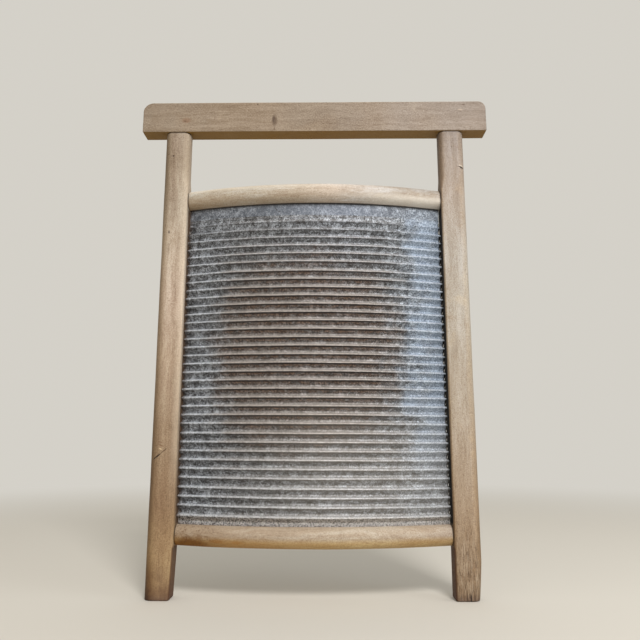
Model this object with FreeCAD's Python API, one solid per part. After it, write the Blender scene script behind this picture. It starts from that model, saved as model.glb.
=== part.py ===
import FreeCAD, Part

import math
import os

# A wooden washboard with a T-shaped head: a head bar on two posts, two rails with bowed,
# rounded fronts, and one corrugated zinc-coated sheet held in grooves between the rails.
#
# Millimetres. +X is to the right seen from the front, the front faces -Y, +Z is up.
# The origin is at the bottom centre of the whole board.

# ---- driving dimensions -------------------------------------------------------------

HEIGHT = 600.0
BETWEEN_POSTS = 315.0

BAR_LENGTH = 437.0
BAR_HEIGHT = 40.5
BAR_THICKNESS = 23.0
BAR_END_RADIUS = 11.0
EASED_EDGE = 1.0

POST_WIDTH = 31.5
POST_STEP_BACK = 0.6  # the post's face lies this far behind the bar's face
POST_OUTER_RADIUS = 9.5
POST_INNER_FRONT_RADIUS = 2.5
POST_INNER_BACK_RADIUS = 1.0

RAIL_HEIGHT = 23.5
LOWER_RAIL_BOTTOM = 57.0
UPPER_RAIL_BOTTOM = 459.0

BOW = 26.3  # rise of the sheet's curve over the space between the posts
SHEET_SET_BACK = 15.2  # from the bar's face to the sheet's face, at the posts
SHEET_BEHIND_NOSE = 0.8  # from the thickest line of a rail's nose to the sheet's face
SHEET_THICKNESS = 0.6
SHEET_SIDE_GAP = 1.4  # from the sheet's side edge to the post, at the flat margins
SHEET_END_GAP = 1.0  # left above the sheet in the upper groove

RIDGE_PITCH = 10.0
RIDGE_GROUPS = (1, 3, 6, 19, 5, 1)  # ridges pressed at one stroke, from the lowest up
GROUP_GAPS = (0.9, 1.2, 1.2, 1.5, 0.7)  # extra room between one group and the next
LOWEST_CREST = 90.4
RIDGE_DEPTH = 3.8
TOP_RIDGE_SHARE = 0.5  # the top ridge is pressed to this share of the full depth
RIDGE_STEEP_SHARE = 0.3  # share of the pitch taken by a ridge's steep upper flank
CREST_RADIUS = 1.6
VALLEY_RADIUS = 2.2

GROOVE_DEPTH = 6.0
GROOVE_CLEARANCE = 0.15

RAIL_TENON = (18.0, 9.0, 15.0)  # length, thickness, height
RAIL_TENON_FROM_BACK = 4.0
POST_TENON = (18.0, 10.0, 26.0)  # width, thickness, height
TENON_CLEARANCE = 0.1
MORTISE_EXTRA_DEPTH = 1.0

NAIL_RADIUS = 1.1
NAIL_HEAD_RADIUS = 2.6
NAIL_HEAD_THICKNESS = 0.9
NAIL_POINT = 2.5
NAIL_SUNK = 0.3
NAIL_CLEARANCE = 0.05
RAIL_NAIL_LENGTH = 17.0
BAR_NAIL_LENGTH = 19.0

# ---- worked out from the above ------------------------------------------------------

HALF_GAP = BETWEEN_POSTS / 2
BAR_BOTTOM = HEIGHT - BAR_HEIGHT
POST_MIDDLE = HALF_GAP + POST_WIDTH / 2

NOSE_RADIUS = RAIL_HEIGHT / 2
SHEET_RADIUS = (HALF_GAP**2 + BOW**2) / (2 * BOW)
NOSE_LINE_RADIUS = SHEET_RADIUS + SHEET_BEHIND_NOSE
TIP_RADIUS = NOSE_LINE_RADIUS + NOSE_RADIUS

TIP_FORWARD_OF_BAR = TIP_RADIUS - SHEET_RADIUS + BOW - SHEET_SET_BACK
DEPTH = BAR_THICKNESS + TIP_FORWARD_OF_BAR
BACK_Y = DEPTH / 2
BAR_FRONT_Y = BACK_Y - BAR_THICKNESS
POST_FRONT_Y = BAR_FRONT_Y + POST_STEP_BACK
BOW_CENTRE = FreeCAD.Vector(0, TIP_RADIUS - DEPTH / 2, 0)

UP = FreeCAD.Vector(0, 0, 1)
BACKWARD = FreeCAD.Vector(0, 1, 0)


# ---- small helpers ------------------------------------------------------------------


def block(x0, x1, y0, y1, z0, z1):
    """A box between two opposite corners."""
    corner = FreeCAD.Vector(x0, y0, z0)
    return Part.makeBox(x1 - x0, y1 - y0, z1 - z0, corner)


def mirrored(shape):
    """The same shape on the other side of the board's middle plane."""
    return shape.mirror(FreeCAD.Vector(0, 0, 0), FreeCAD.Vector(1, 0, 0))


def rounded_path(corners, radii):
    """Straight runs through the corners, each inner corner rounded by a tangent arc."""
    edges = []
    start = corners[0]
    for before, corner, after, radius in zip(corners, corners[1:], corners[2:], radii):
        back = (before - corner).normalize()
        ahead = (after - corner).normalize()
        half_angle = back.getAngle(ahead) / 2
        reach = radius / math.tan(half_angle)
        middle = (back + ahead).normalize()
        nearest = middle * (radius / math.sin(half_angle) - radius)
        arc_start = corner + back * reach
        arc_end = corner + ahead * reach
        edges.append(Part.makeLine(start, arc_start))
        edges.append(Part.Arc(arc_start, corner + nearest, arc_end).toShape())
        start = arc_end
    edges.append(Part.makeLine(start, corners[-1]))
    return edges


def closed_rounded(corners, radii):
    """A closed outline with each corner rounded by its own radius."""
    middle = (corners[-1] + corners[0]) * 0.5
    path = [middle] + corners + [middle]
    return Part.Wire(rounded_path(path, radii))


def swept_about_bow(outline, half_angle):
    """Turns an upright outline, drawn on the middle plane, about the centre of the bow."""
    face = Part.Face(outline)
    face.rotate(BOW_CENTRE, UP, -half_angle)
    return face.revolve(BOW_CENTRE, UP, 2 * half_angle)


def bow_point(radius, z):
    """A point on the middle plane at a radius from the centre of the bow."""
    return FreeCAD.Vector(0, BOW_CENTRE.y - radius, z)


def upright_rectangle(inner_radius, outer_radius, z0, z1):
    corners = [
        bow_point(inner_radius, z0),
        bow_point(outer_radius, z0),
        bow_point(outer_radius, z1),
        bow_point(inner_radius, z1),
    ]
    return Part.makePolygon(corners + corners[:1])


def degrees_to_reach(x, radius):
    """The angle about the centre of the bow at which a circle reaches x."""
    return math.degrees(math.asin(x / radius))


# ---- nails --------------------------------------------------------------------------


def nail(x, z, length):
    """A round wire nail driven forward from the back face, its head just under the surface."""
    head_y = BACK_Y - NAIL_SUNK
    shank = length - NAIL_HEAD_THICKNESS - NAIL_POINT
    forward = BACKWARD * -1
    head_back = FreeCAD.Vector(x, head_y, z)
    head_front = head_back + forward * NAIL_HEAD_THICKNESS
    shank_end = head_front + forward * shank
    head = Part.makeCylinder(NAIL_HEAD_RADIUS, NAIL_HEAD_THICKNESS, head_back, forward)
    body = Part.makeCylinder(NAIL_RADIUS, shank, head_front, forward)
    point = Part.makeCone(NAIL_RADIUS, 0, NAIL_POINT, shank_end, forward)
    return head.fuse([body, point]).removeSplitter()


def nail_hole(x, z, length):
    """The hole that a nail fills, with room for its head."""
    forward = BACKWARD * -1
    mouth = FreeCAD.Vector(x, BACK_Y, z)
    shank = Part.makeCylinder(NAIL_RADIUS + NAIL_CLEARANCE, length + NAIL_SUNK, mouth, forward)
    seat_radius = NAIL_HEAD_RADIUS + NAIL_CLEARANCE
    seat_depth = NAIL_SUNK + NAIL_HEAD_THICKNESS
    seat = Part.makeCylinder(seat_radius, seat_depth, mouth, forward)
    return shank.fuse(seat)


def rail_nail_places():
    """Each rail tenon has one nail through its middle."""
    x = HALF_GAP + RAIL_TENON[0] / 2
    levels = [LOWER_RAIL_BOTTOM + RAIL_HEIGHT / 2, UPPER_RAIL_BOTTOM + RAIL_HEIGHT / 2]
    return [(side * x, z) for z in levels for side in (-1, 1)]


def bar_nail_places():
    """Each post tenon has one nail, halfway up the part inside the bar."""
    z = BAR_BOTTOM + POST_TENON[2] / 2
    return [(-POST_MIDDLE, z), (POST_MIDDLE, z)]


# ---- tenons -------------------------------------------------------------------------


def rail_tenon(rail_bottom, extra=0.0, extra_length=0.0):
    """The right-hand tenon of a rail, or its mortise when made a little larger."""
    length, thickness, height = RAIL_TENON
    middle_y = BACK_Y - RAIL_TENON_FROM_BACK - thickness / 2
    middle_z = rail_bottom + RAIL_HEIGHT / 2
    return block(
        HALF_GAP,
        HALF_GAP + length + extra_length,
        middle_y - thickness / 2 - extra,
        middle_y + thickness / 2 + extra,
        middle_z - height / 2 - extra,
        middle_z + height / 2 + extra,
    )


def post_tenon(extra=0.0, extra_height=0.0):
    """The tenon on top of the right post, or its mortise when made a little larger."""
    width, thickness, height = POST_TENON
    middle_y = BACK_Y - BAR_THICKNESS / 2
    return block(
        POST_MIDDLE - width / 2 - extra,
        POST_MIDDLE + width / 2 + extra,
        middle_y - thickness / 2 - extra,
        middle_y + thickness / 2 + extra,
        BAR_BOTTOM,
        BAR_BOTTOM + height + extra_height,
    )


# ---- wooden pieces ------------------------------------------------------------------


def top_bar():
    """The head bar: square below, its two upper corners rounded, with a mortise for each post."""
    half = BAR_LENGTH / 2
    corners = [
        FreeCAD.Vector(-half, BAR_FRONT_Y, BAR_BOTTOM),
        FreeCAD.Vector(half, BAR_FRONT_Y, BAR_BOTTOM),
        FreeCAD.Vector(half, BAR_FRONT_Y, HEIGHT),
        FreeCAD.Vector(-half, BAR_FRONT_Y, HEIGHT),
    ]
    radii = [EASED_EDGE, EASED_EDGE, BAR_END_RADIUS, BAR_END_RADIUS]
    outline = closed_rounded(corners, radii)
    bar = Part.Face(outline).extrude(BACKWARD * BAR_THICKNESS)
    outlines = [e for e in bar.Edges if abs(e.BoundBox.YLength) < 0.001]
    bar = bar.makeFillet(EASED_EDGE, outlines)
    mortise = post_tenon(TENON_CLEARANCE, MORTISE_EXTRA_DEPTH)
    bar = bar.cut([mortise, mirrored(mortise)])
    holes = [nail_hole(x, z, BAR_NAIL_LENGTH) for x, z in bar_nail_places()]
    return bar.cut(holes)


def right_post():
    """A post: flat inner face, well rounded outer edge, square foot, tenon at the top."""
    outer = HALF_GAP + POST_WIDTH
    corners = [
        FreeCAD.Vector(HALF_GAP, POST_FRONT_Y, 0),
        FreeCAD.Vector(outer, POST_FRONT_Y, 0),
        FreeCAD.Vector(outer, BACK_Y, 0),
        FreeCAD.Vector(HALF_GAP, BACK_Y, 0),
    ]
    radii = [
        POST_INNER_FRONT_RADIUS,
        POST_OUTER_RADIUS,
        POST_OUTER_RADIUS,
        POST_INNER_BACK_RADIUS,
    ]
    post = Part.Face(closed_rounded(corners, radii)).extrude(UP * BAR_BOTTOM)
    ends = [e for e in post.Edges if abs(e.BoundBox.ZLength) < 0.001]
    post = post.makeFillet(EASED_EDGE, ends)
    post = post.fuse(post_tenon()).removeSplitter()
    rails = (LOWER_RAIL_BOTTOM, UPPER_RAIL_BOTTOM)
    mortises = [rail_tenon(z, TENON_CLEARANCE, MORTISE_EXTRA_DEPTH) for z in rails]
    holes = [nail_hole(x, z, RAIL_NAIL_LENGTH) for x, z in rail_nail_places() if x > 0]
    holes += [nail_hole(x, z, BAR_NAIL_LENGTH) for x, z in bar_nail_places() if x > 0]
    return post.cut(mortises + holes)


def rail(bottom, groove_on_top):
    """A rail sawn from a plank: flat back, bowed front with a full half-round nose,
    a groove for the sheet along the same bow, and a tenon at each end."""
    top = bottom + RAIL_HEIGHT
    middle = bottom + NOSE_RADIUS
    ease = EASED_EDGE

    end_y = BOW_CENTRE.y - math.sqrt(NOSE_LINE_RADIUS**2 - HALF_GAP**2)
    left = FreeCAD.Vector(-HALF_GAP, end_y, bottom)
    right = FreeCAD.Vector(HALF_GAP, end_y, bottom)
    front = Part.Arc(left, bow_point(NOSE_LINE_RADIUS, bottom), right).toShape()
    back_right = FreeCAD.Vector(HALF_GAP, BACK_Y, bottom)
    back_left = FreeCAD.Vector(-HALF_GAP, BACK_Y, bottom)
    sides = [
        Part.makeLine(right, back_right),
        Part.makeLine(back_right, back_left),
        Part.makeLine(back_left, left),
    ]
    plank = Part.Face(Part.Wire([front] + sides)).extrude(UP * RAIL_HEIGHT)
    long_back = [
        e
        for e in plank.Edges
        if e.BoundBox.YMin > BACK_Y - 0.001 and e.BoundBox.XLength > HALF_GAP
    ]
    plank = plank.makeFillet(ease, long_back)

    half_round = Part.Arc(
        bow_point(NOSE_LINE_RADIUS, top),
        bow_point(TIP_RADIUS, middle),
        bow_point(NOSE_LINE_RADIUS, bottom),
    ).toShape()
    closing = Part.makeLine(
        bow_point(NOSE_LINE_RADIUS, bottom), bow_point(NOSE_LINE_RADIUS, top)
    )
    past_the_post = degrees_to_reach(HALF_GAP + NOSE_RADIUS, NOSE_LINE_RADIUS)
    nose = swept_about_bow(Part.Wire([half_round, closing]), past_the_post)
    between = block(-HALF_GAP, HALF_GAP, -DEPTH, DEPTH, bottom, top)
    body = plank.fuse(nose.common(between)).removeSplitter()

    groove_floor = top - GROOVE_DEPTH if groove_on_top else bottom + GROOVE_DEPTH
    groove_mouth = top + ease if groove_on_top else bottom - ease
    slot = upright_rectangle(
        SHEET_RADIUS - SHEET_THICKNESS - GROOVE_CLEARANCE,
        SHEET_RADIUS + GROOVE_CLEARANCE,
        min(groove_floor, groove_mouth),
        max(groove_floor, groove_mouth),
    )
    body = body.cut(swept_about_bow(slot, past_the_post))

    tenon = rail_tenon(bottom)
    body = body.fuse([tenon, mirrored(tenon)]).removeSplitter()
    level = bottom + RAIL_HEIGHT / 2
    here = [x for x, z in rail_nail_places() if abs(z - level) < 0.001]
    return body.cut([nail_hole(x, level, RAIL_NAIL_LENGTH) for x in here])


# ---- the corrugated sheet -----------------------------------------------------------


def offset_corners(corners, distance):
    """The corners of a path parallel to the given one, towards the back of the board."""
    moved = []
    count = len(corners)
    for i, corner in enumerate(corners):
        before = corners[max(i - 1, 0)]
        after = corners[min(i + 1, count - 1)]
        normals = []
        for a, b in ((before, corner), (corner, after)):
            if (b - a).Length > 0:
                run = (b - a).normalize()
                normals.append(FreeCAD.Vector(0, -run.z, run.y))
        middle = normals[0] + normals[-1]
        moved.append(corner + middle * (2 * distance / middle.dot(middle)))
    return moved


def sharp_ridge(steep, gentle):
    """The depth that a ridge has before its corners are rounded, and the share of a
    rounding radius that is lost at each corner. Each round of the loop comes closer."""
    sharp_depth = RIDGE_DEPTH
    for _ in range(40):
        flanks = math.atan(sharp_depth / steep) + math.atan(sharp_depth / gentle)
        lost_share = 1 / math.cos(flanks / 2) - 1
        sharp_depth = RIDGE_DEPTH + (CREST_RADIUS + VALLEY_RADIUS) * lost_share
    return sharp_depth, lost_share


def crest_heights():
    """The height of each ridge's crest, from the top ridge down."""
    heights = []
    z = LOWEST_CREST
    for count, gap in zip(RIDGE_GROUPS, GROUP_GAPS + (0.0,)):
        for _ in range(count):
            heights.append(z)
            z += RIDGE_PITCH
        z += gap
    return heights[::-1]


def ridge_corners(bottom, top):
    """Corner points of the sheet's front face from top to bottom: a flat margin, the ridges,
    a flat margin. Each ridge rises steeply on its upper side and falls gently below."""
    steep = RIDGE_PITCH * RIDGE_STEEP_SHARE
    gentle = RIDGE_PITCH - steep
    sharp_depth, lost_share = sharp_ridge(steep, gentle)
    valley_radius = SHEET_RADIUS - VALLEY_RADIUS * lost_share

    crests = crest_heights()
    corners = [bow_point(SHEET_RADIUS, top)]
    radii = []
    flat_rise = (SHEET_RADIUS - valley_radius) / sharp_depth
    top_flat_rise = flat_rise / TOP_RIDGE_SHARE
    corners.append(bow_point(SHEET_RADIUS, crests[0] + steep * (1 - top_flat_rise)))
    radii.append(VALLEY_RADIUS)
    corners.append(bow_point(valley_radius + sharp_depth * TOP_RIDGE_SHARE, crests[0]))
    radii.append(CREST_RADIUS)
    for crest in crests[1:]:
        corners.append(bow_point(valley_radius, crest + steep))
        radii.append(VALLEY_RADIUS)
        corners.append(bow_point(valley_radius + sharp_depth, crest))
        radii.append(CREST_RADIUS)
    corners.append(bow_point(SHEET_RADIUS, crests[-1] - gentle * (1 - flat_rise)))
    radii.append(VALLEY_RADIUS)
    corners.append(bow_point(SHEET_RADIUS, bottom))
    return corners, radii


def corrugated_sheet():
    """One zinc-coated steel sheet with ridges across it, bowed forward between the rails."""
    bottom = LOWER_RAIL_BOTTOM + RAIL_HEIGHT - GROOVE_DEPTH
    top = UPPER_RAIL_BOTTOM + GROOVE_DEPTH - SHEET_END_GAP
    front, front_radii = ridge_corners(bottom, top)
    back = offset_corners(front, SHEET_THICKNESS)
    back_radii = [
        r - SHEET_THICKNESS if r == CREST_RADIUS else r + SHEET_THICKNESS
        for r in front_radii
    ]
    outline = rounded_path(front, front_radii)
    outline.append(Part.makeLine(front[-1], back[-1]))
    outline += rounded_path(back[::-1], back_radii[::-1])
    outline.append(Part.makeLine(back[0], front[0]))
    wire = Part.Wire(outline)
    half_angle = degrees_to_reach(HALF_GAP - SHEET_SIDE_GAP, SHEET_RADIUS)
    return swept_about_bow(wire, half_angle)


# ---- the whole board ----------------------------------------------------------------


def washboard():
    post = right_post()
    rail_nails = [nail(x, z, RAIL_NAIL_LENGTH) for x, z in rail_nail_places()]
    bar_nails = [nail(x, z, BAR_NAIL_LENGTH) for x, z in bar_nail_places()]
    return {
        "top_bar": top_bar(),
        "left_post": mirrored(post),
        "right_post": post,
        "upper_rail": rail(UPPER_RAIL_BOTTOM, groove_on_top=False),
        "lower_rail": rail(LOWER_RAIL_BOTTOM, groove_on_top=True),
        "corrugated_sheet": corrugated_sheet(),
        "rail_nails": Part.makeCompound(rail_nails),
        "bar_nails": Part.makeCompound(bar_nails),
    }


os.makedirs("parts", exist_ok=True)
for name, shape in washboard().items():
    shape.exportStep(f"parts/{name}.step")
    box = shape.BoundBox
    size = f"{box.XLength:.1f} x {box.YLength:.1f} x {box.ZLength:.1f}"
    print(name, len(shape.Solids), "solids", size, "valid" if shape.isValid() else "INVALID")
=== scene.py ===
import math

import bpy
import numpy as np
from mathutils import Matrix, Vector, noise


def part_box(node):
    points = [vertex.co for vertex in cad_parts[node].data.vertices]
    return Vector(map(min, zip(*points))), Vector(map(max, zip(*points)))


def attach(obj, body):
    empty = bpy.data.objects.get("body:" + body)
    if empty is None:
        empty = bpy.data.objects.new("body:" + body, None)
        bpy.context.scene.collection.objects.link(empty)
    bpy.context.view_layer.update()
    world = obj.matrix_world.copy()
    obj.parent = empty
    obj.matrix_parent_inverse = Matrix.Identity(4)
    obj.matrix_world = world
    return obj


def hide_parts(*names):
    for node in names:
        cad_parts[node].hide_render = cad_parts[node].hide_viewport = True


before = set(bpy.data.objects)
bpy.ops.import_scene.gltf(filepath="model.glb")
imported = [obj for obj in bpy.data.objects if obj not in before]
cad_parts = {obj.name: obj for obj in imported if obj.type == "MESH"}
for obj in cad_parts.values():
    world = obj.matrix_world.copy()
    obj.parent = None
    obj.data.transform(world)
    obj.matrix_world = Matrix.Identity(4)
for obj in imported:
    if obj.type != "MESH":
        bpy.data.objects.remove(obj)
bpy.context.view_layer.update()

# The looks of a weathered washboard: bleached beech posts, rails and head bar, and a bowed,
# corrugated zinc sheet. Shapes are worked out in millimetres and stored in metres. Left and
# right are as seen from the front.

MM = 0.001

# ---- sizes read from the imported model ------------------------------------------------


def box_mm(node):
    """Lowest and highest corner of a CAD node, in millimetres."""
    low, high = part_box(node)
    return [v / MM for v in low], [v / MM for v in high]


(_, BAR_FRONT, BAR_BOTTOM), (BAR_END, BACK, BAR_TOP) = box_mm("top_bar")
(POST_INNER, POST_FRONT, _), (POST_OUTER, _, _) = box_mm("right_post")
(_, _, UPPER_BOTTOM), (_, _, UPPER_TOP) = box_mm("upper_rail")
(_, RAIL_TIP, LOWER_BOTTOM), (_, _, LOWER_TOP) = box_mm("lower_rail")
(_, _, SHEET_BOTTOM), (_, _, SHEET_TOP) = box_mm("corrugated_sheet")

# ---- sizes that the boxes don't tell -------------------------------------------------

BAR_LEFT_RADIUS = 13.0
BAR_RIGHT_RADIUS = 10.0
POST_OUTER_RADIUS = 9.5
EASED_EDGE = 1.0
BOW = 26.3
SHEET_BEHIND_NOSE = 0.8
SHEET_THICKNESS = 0.6
SHEET_SIDE_GAP = 1.4
RIDGE_PITCH = 10.0
RIDGE_GROUPS = (1, 3, 6, 19, 5, 1)
GROUP_GAPS = (0.9, 1.2, 1.2, 1.5, 0.7)
LOWEST_CREST = 90.4
RIDGE_DEPTH = 3.8
TOP_RIDGE_SHARE = 0.5
RIDGE_STEEP = 0.3 * RIDGE_PITCH
RIDGE_GENTLE = RIDGE_PITCH - RIDGE_STEEP
CREST_RADIUS = 1.6
VALLEY_RADIUS = 2.2
GROOVE_DEPTH = 6.0
GROOVE_CLEARANCE = 0.25
POST_INNER_RADII = (3.0, 0.7)  # front and back corner, beside the sheet
HELD_RADII_GAIN = (5.5, 7.0)  # how much rounder both are above the upper rail
HELD_RUN = 15.0
RIGHT_FOOT_WEAR = 3.4  # off the outer face
RIGHT_FOOT_WEAR_HEIGHT = 42.0
LEFT_FOOT_WEAR = 2.4  # off the inner face
LEFT_FOOT_WEAR_HEIGHT = 64.0
RIDGE_DROP = 0.33
RIDGE_SLOPE = 0.0052  # further drop for each mm to the right
SHEET_MARGIN = 8.0  # along the upper and lower edge, held still in the grooves
SHEET_MARGIN_FADE = 14.0
DENTS = 46
RAIL_GAP = 0.12
RAIL_BACK_RADIUS = 1.2
GROOVE_LIP = 0.5
RAIL_NAIL_X = POST_INNER + 9.0
BAR_NAIL_X = (POST_INNER + POST_OUTER) / 2
BAR_NAIL_Z = BAR_BOTTOM + 13.0

NOSE_RADIUS = (LOWER_TOP - LOWER_BOTTOM) / 2
SHEET_RADIUS = (POST_INNER**2 + BOW**2) / (2 * BOW)
NOSE_LINE_RADIUS = SHEET_RADIUS + SHEET_BEHIND_NOSE
BOW_CENTRE_Y = RAIL_TIP + NOSE_LINE_RADIUS + NOSE_RADIUS

# ---- mesh helpers --------------------------------------------------------------------


def smooth_noise(points, size, seed, detail=1):
    """A smooth value from about -1 to 1 at each point, changing over the given size."""
    values = []
    for p in points:
        place = Vector(p) / size + Vector((7.1, 3.3, 11.9)) * seed
        values.append(sum(noise.noise(place * 2**k) / 2**k for k in range(detail)))
    return np.array(values)


def ease_inset(distance, radius):
    """How far a rounded end lies inside the full section, at a distance from that end."""
    if distance >= radius:
        return 0.0
    return radius - math.sqrt(radius**2 - (radius - distance) ** 2)


def stations(start, end, step, ease, fine_places=(), fine_step=0.8, fine_reach=6.0):
    """Places along a piece: close together on the rounded ends and at the fine places."""
    quarter = [ease * (1 - math.cos(math.radians(a))) for a in (0, 25, 50, 70, 90)]
    places = set(start + d for d in quarter) | set(end - d for d in quarter)
    count = round((end - start) / step)
    for i in range(1, count):
        places.add(start + (end - start) * i / count)
    for fine in fine_places:
        for i in range(-round(fine_reach / fine_step), round(fine_reach / fine_step) + 1):
            places.add(fine + i * fine_step)
    inside = sorted(p for p in places if start <= p <= end)
    kept = [inside[0]]
    for place in inside[1:]:
        if place - kept[-1] > 0.04:
            kept.append(place)
    kept[-1] = end
    return kept


def fillet(before, corner, after, radius, steps):
    """Points round a corner between two neighbouring corners, rounded to the radius."""
    back = (before - corner) / np.linalg.norm(before - corner)
    ahead = (after - corner) / np.linalg.norm(after - corner)
    half = math.acos(np.clip(back @ ahead, -1, 1)) / 2
    middle = (back + ahead) / np.linalg.norm(back + ahead)
    centre = corner + middle * radius / math.sin(half)
    first = corner + back * radius / math.tan(half) - centre
    last = corner + ahead * radius / math.tan(half) - centre
    sweep = math.pi - 2 * half
    points = []
    for k in range(steps + 1):
        t = k / steps
        part = math.sin((1 - t) * sweep) * first + math.sin(t * sweep) * last
        points.append(centre + part / math.sin(sweep))
    return points


def rounded_outline(corners, radii, side_steps, arc_steps):
    """Points round a closed outline with rounded corners, and how near each is to an edge."""
    corners = [np.array(corner, float) for corner in corners]
    count = len(corners)
    arcs = [
        fillet(corners[i - 1], corners[i], corners[(i + 1) % count], radii[i], arc_steps[i])
        for i in range(count)
    ]
    points, edge = [], []
    for i, arc in enumerate(arcs):
        points += arc
        edge += [math.sin(k / arc_steps[i] * math.pi) for k in range(len(arc))]
        side_start, side_end = arc[-1], arcs[(i + 1) % count][0]
        for k in range(1, side_steps[i]):
            points.append(side_start + (side_end - side_start) * k / side_steps[i])
            edge.append(0.0)
    return np.array(points), np.array(edge)


def add_object(name, data):
    thing = bpy.data.objects.new(name, data)
    bpy.context.scene.collection.objects.link(thing)
    return thing


def volume(points, faces):
    """Six times the signed volume inside the faces: below zero if they face inwards."""
    total = 0.0
    for f in faces:
        for k in range(1, len(f) - 1):
            total += points[f[0]] @ np.cross(points[f[k]], points[f[k + 1]])
    return total


def make_object(name, points, faces, attributes):
    """A smooth-shaded object from points in millimetres, with its faces turned outwards."""
    if volume(points, faces) < 0:
        faces = [f[::-1] for f in faces]
    mesh = bpy.data.meshes.new(name)
    mesh.from_pydata((points * MM).tolist(), [], faces)
    for key, values in attributes.items():
        layer = mesh.attributes.new(key, "FLOAT", "POINT")
        layer.data.foreach_set("value", np.asarray(values, np.float32))
    mesh.polygons.foreach_set("use_smooth", [True] * len(mesh.polygons))
    mesh.update()
    return add_object(name, mesh)


def loft(name, rings, edges, cap_rings=5):
    """A closed skin through equal rings of points, with ringed flat ends."""
    rings = [np.asarray(r, float) for r in rings]
    size = len(rings[0])
    head, tail = rings[0], rings[-1]
    inner_head, inner_tail = [], []
    for k in range(1, cap_rings):
        share = 1 - k / cap_rings
        inner_head.insert(0, head.mean(0) + (head - head.mean(0)) * share)
        inner_tail.append(tail.mean(0) + (tail - tail.mean(0)) * share)
    whole = inner_head + rings + inner_tail
    quiet = np.zeros(size)
    weights = [quiet] * len(inner_head) + list(edges) + [quiet] * len(inner_tail)
    points = np.concatenate(whole + [[head.mean(0)], [tail.mean(0)]])
    edge = np.concatenate(weights + [[0.0, 0.0]])
    faces = []
    for s in range(len(whole) - 1):
        for i in range(size):
            j = (i + 1) % size
            a, b = s * size, (s + 1) * size
            faces.append((a + i, a + j, b + j, b + i))
    first, last = len(points) - 2, len(points) - 1
    base = (len(whole) - 1) * size
    for i in range(size):
        j = (i + 1) % size
        faces.append((first, j, i))
        faces.append((last, base + i, base + j))
    return make_object(name, points, faces, {"edge": edge})


def read_points(thing):
    """The vertices of an object in millimetres, and their normals."""
    mesh = thing.data
    count = len(mesh.vertices)
    co = np.zeros(count * 3)
    mesh.vertices.foreach_get("co", co)
    normals = np.zeros(count * 3)
    mesh.vertex_normals.foreach_get("vector", normals)
    return co.reshape(-1, 3) / MM, normals.reshape(-1, 3)


def write_points(thing, points):
    thing.data.vertices.foreach_set("co", (points * MM).ravel())
    thing.data.update()


def weather(thing, seed, long_axis, wave=0.22, grain=0.05):
    """Lets the surface sink unevenly: slow waves along the piece and fine furrows of grain.
    Points only move inwards."""
    points, normals = read_points(thing)
    stretched = points.copy()
    stretched[:, long_axis] /= 6
    slow = smooth_noise(stretched, 14.0, seed, 2)
    stretched[:, long_axis] /= 4
    furrows = smooth_noise(stretched, 2.2, seed + 5)
    sink = wave * np.clip(0.5 + 0.5 * slow, 0, 1) + grain * np.clip(0.5 + furrows, 0, 1)
    write_points(thing, points - normals * sink[:, None])


def carve(thing, cuts):
    """Scoops: every point inside a stretched ball is pushed out to the ball's surface."""
    points, _ = read_points(thing)
    for centre, radius, stretch in cuts:
        scale = np.array(stretch, float)
        away = (points - np.array(centre, float)) / scale
        far = np.linalg.norm(away, axis=1)
        inside = far < radius
        pushed = away[inside] * (radius / np.maximum(far[inside], 1e-6))[:, None]
        points[inside] = np.array(centre, float) + pushed * scale
    write_points(thing, points)


def dimple(thing, places, radius=4.4, depth=0.95):
    """Sinks the back face in a shallow cup round each nail head."""
    points, _ = read_points(thing)
    on_back = points[:, 1] > BACK - 2
    for x, z in places:
        far = np.hypot(points[:, 0] - x, points[:, 2] - z)
        share = np.clip(1 - far / radius, 0, 1)
        points[:, 1] -= on_back * depth * share * share * (3 - 2 * share)
    write_points(thing, points)


def finish_piece(thing, node, material):
    """The piece stands for its CAD node, takes the given finish and rides on root."""
    thing.data.materials.append(material)
    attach(thing, "root")
    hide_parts(node)


# ---- wooden pieces -------------------------------------------------------------------


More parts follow.
